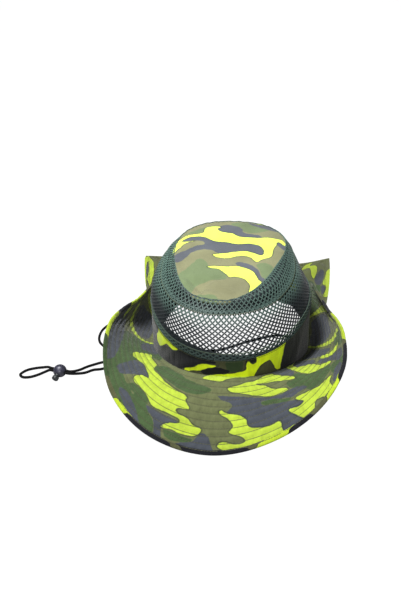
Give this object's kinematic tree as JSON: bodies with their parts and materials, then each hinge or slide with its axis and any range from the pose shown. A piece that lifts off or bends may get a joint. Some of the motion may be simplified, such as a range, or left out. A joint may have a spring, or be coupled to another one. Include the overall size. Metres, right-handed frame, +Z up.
{
  "type": "wide-brim sun hat",
  "caption": "Wide-brim camouflage sun hat with an open net crown, curled stitched brim, long neck flap and a black chin cord with a ball cord lock, lying on a surface.",
  "frame": {"origin": "middle of the cloth hat's footprint on the surface that it lies on, without the chin cord", "axes": "+Z up, -Y the front of the hat, +Y the back where the neck flap lies out, +X the side away from the cord lock"},
  "size_m": [0.3322, 0.4098, 0.1248],
  "materials": {
    "camo_cloth": "plain-woven cotton camouflage print in olive, green, grey-navy and bright yellow, matte",
    "crown_net": "dark green knitted polyester net with diamond holes, slight sheen",
    "cord": "black round braided cord, matte",
    "lock_plastic": "black moulded plastic with a soft gloss"
  },
  "bodies": {
    "hat": {"crown_tip": "camo_cloth", "crown_mesh": "crown_net", "crown_band": "camo_cloth", "brim": "camo_cloth", "brim_binding": "camo_cloth", "neck_flap": "camo_cloth", "chin_cord": "cord", "cord_lock": "lock_plastic"},
    "lock_button": {"cord_lock_button": "lock_plastic"}
  },
  "joints": [
    {"name": "button_press", "type": "slide", "parent": "hat", "child": "lock_button", "axis": [0.1685, 0.9556, 0.2419], "range_m": [0, 0.0015], "stiffness_N_per_m": 500}
  ]
}
